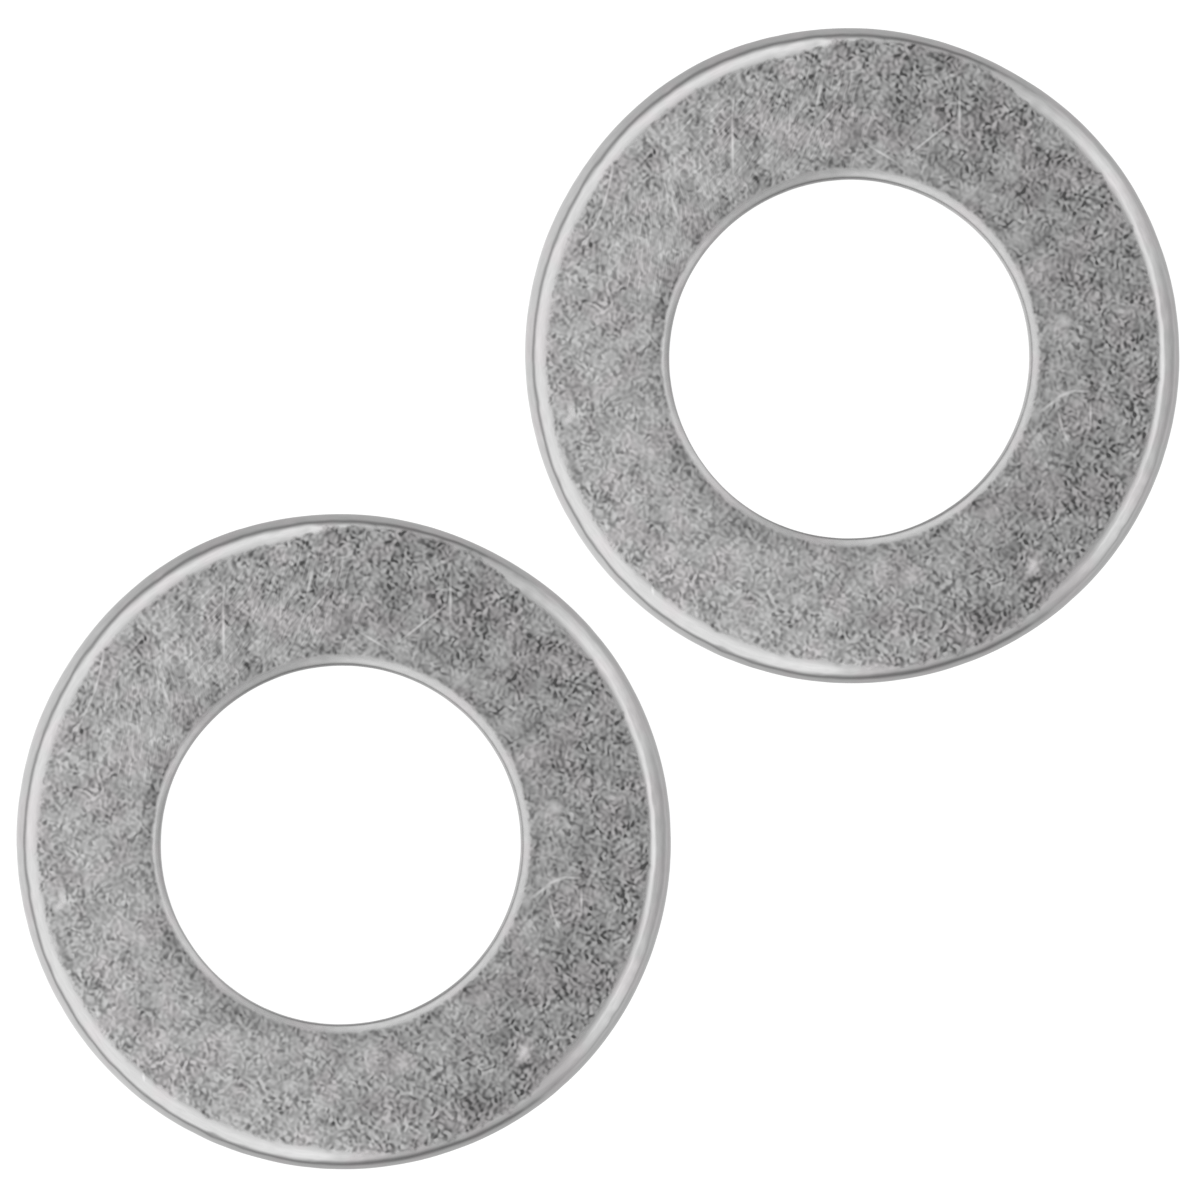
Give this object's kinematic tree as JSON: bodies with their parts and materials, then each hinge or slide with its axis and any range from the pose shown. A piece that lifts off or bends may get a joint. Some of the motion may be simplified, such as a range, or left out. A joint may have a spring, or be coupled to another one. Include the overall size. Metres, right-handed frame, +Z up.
{
  "type": "pair of axle washers",
  "caption": "Plain round flat steel washers for an axle nut, punched from strip with softly rolled edges, zinc plated and tumbled, lying apart on one face.",
  "frame": {"origin": "midway between the centres of the washers, on the surface that they lie on", "axes": "+Z up through the thickness, out of the faces with the rolled edges; +X from the left washer towards the right one and +Y away from the viewer, who looks down with +Y up the picture"},
  "size_m": [0.0462, 0.0452, 0.0025],
  "materials": {
    "zinc_plated_steel": "zinc plated and tumbled, satin with a fine mottled grain and light scratches"
  },
  "bodies": {
    "root": {"left_washer": "zinc_plated_steel", "right_washer": "zinc_plated_steel"}
  },
  "joints": []
}
